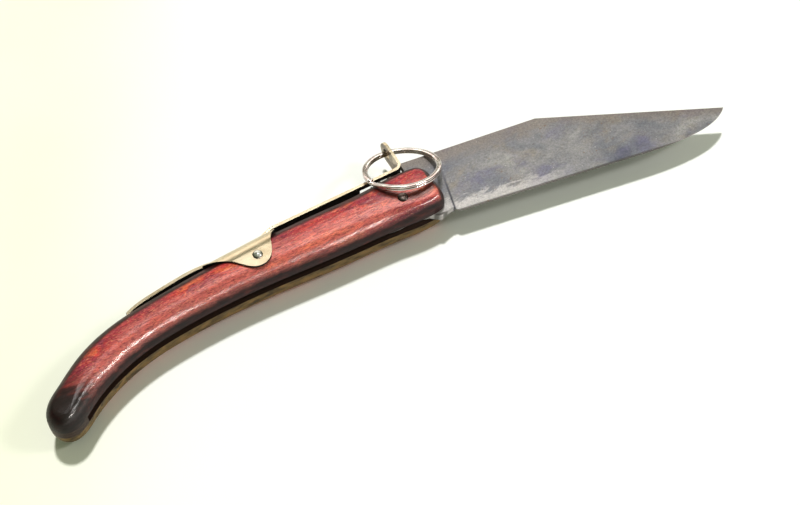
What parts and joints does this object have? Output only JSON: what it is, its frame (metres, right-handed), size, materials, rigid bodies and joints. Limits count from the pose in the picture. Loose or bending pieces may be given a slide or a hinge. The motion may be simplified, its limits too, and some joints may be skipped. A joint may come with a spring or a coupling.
{
  "type": "folding knife",
  "caption": "Folding pocket knife with a curved wooden handle, a clip-point blade, and a back spring that ratchets on the tang and is lifted by a pull ring.",
  "frame": {"origin": "bottom centre of the whole object's box as it lies open on its side; the blade pivot's axis is parallel to Z at (0.0064, -0.0021) m", "axes": "+X along the knife towards the blade's point, +Y towards the back spring, +Z through the thickness of the knife, upwards as it lies on its side"},
  "size_m": [0.2246, 0.0444, 0.0201],
  "materials": {
    "lacquered_wood": "red-brown hardwood under glossy lacquer, scorched dark along its edges",
    "carbon_steel": "dull grey carbon steel with a blotchy blue-brown patina",
    "rivet_steel": "plain steel rivet with a hammered dome",
    "nickel_plate": "satin nickel-plated spring steel, brighter on its cut edges",
    "nickel_wire": "bright nickel-plated ring wire"
  },
  "bodies": {
    "handle_unit": {"handle": "lacquered_wood", "pivot_rivet": "rivet_steel", "spring_saddle": "nickel_plate", "saddle_rivet": "rivet_steel"},
    "blade_unit": {"blade": "carbon_steel"},
    "arm_unit": {"lock_arm": "nickel_plate"},
    "ring_unit": {"pull_ring": "nickel_wire"}
  },
  "joints": [
    {"name": "blade_fold", "type": "hinge", "parent": "handle_unit", "child": "blade_unit", "pos_m": [0.00636, -0.00209, 0.0091], "axis": [0, 0, -1], "range_deg": [0, 165]},
    {"name": "arm_lift", "type": "hinge", "parent": "handle_unit", "child": "arm_unit", "pos_m": [-0.0302, 0.01001, 0.0091], "axis": [0, 0, 1], "range_deg": [0, 4], "stiffness_Nm_per_rad": 4},
    {"name": "ring_swing", "type": "hinge", "parent": "arm_unit", "child": "ring_unit", "pos_m": [0.01291, 0.01861, 0.0091], "axis": [-1, 0, 0], "range_deg": [0, 285]}
  ]
}
